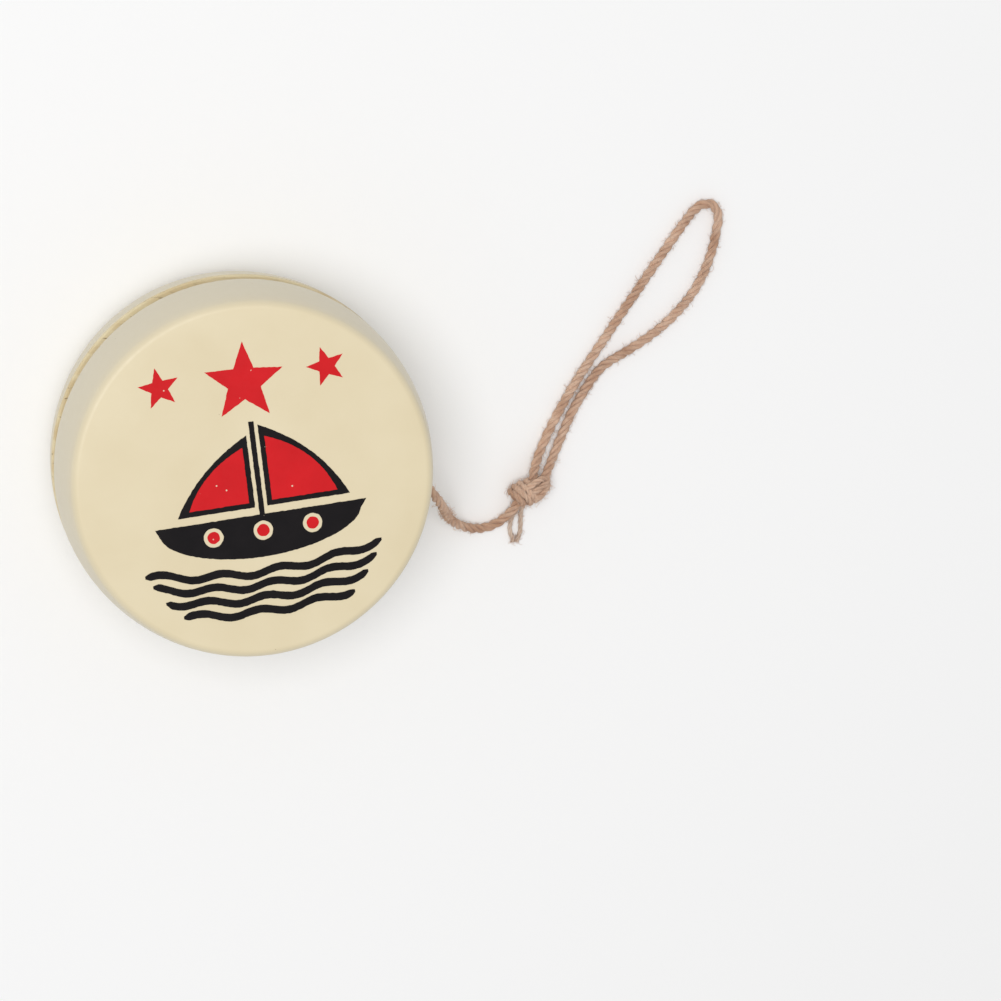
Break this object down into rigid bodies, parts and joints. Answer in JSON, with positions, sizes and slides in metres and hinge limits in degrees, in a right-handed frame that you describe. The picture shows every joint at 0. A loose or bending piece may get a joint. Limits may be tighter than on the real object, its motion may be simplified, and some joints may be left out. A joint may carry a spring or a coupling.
{
  "type": "yo-yo",
  "caption": "Small painted wooden yo-yo: discs on a fixed wooden axle, cotton string wound in the gap between them, ending in a knotted finger loop.",
  "frame": {"origin": "centre of the rear half's flat face, on the axle's axis, where the yo-yo rests", "axes": "+Z along the axle from the rear half to the printed front half; +Y towards the top of the print; the free string lies towards +X"},
  "size_m": [0.1082, 0.0698, 0.028],
  "materials": {
    "painted_wood": "satin cream paint",
    "bare_wood": "bare sanded wood",
    "cotton_string": "three-ply twisted cotton",
    "red_print": "satin printing ink",
    "black_print": "satin printing ink"
  },
  "bodies": {
    "string": {"axle_loop": "cotton_string", "string_winding": "cotton_string", "string_lead": "cotton_string", "loop_knot": "cotton_string", "finger_loop": "cotton_string", "knot_tail": "cotton_string"},
    "spool": {"front_half": "painted_wood", "rear_half": "painted_wood", "axle": "bare_wood"}
  },
  "joints": [
    {"name": "spool_spin", "type": "hinge", "parent": "string", "child": "spool", "pos_m": [0, 0, 0.014], "axis": [0, 0, 1], "continuous": true}
  ]
}
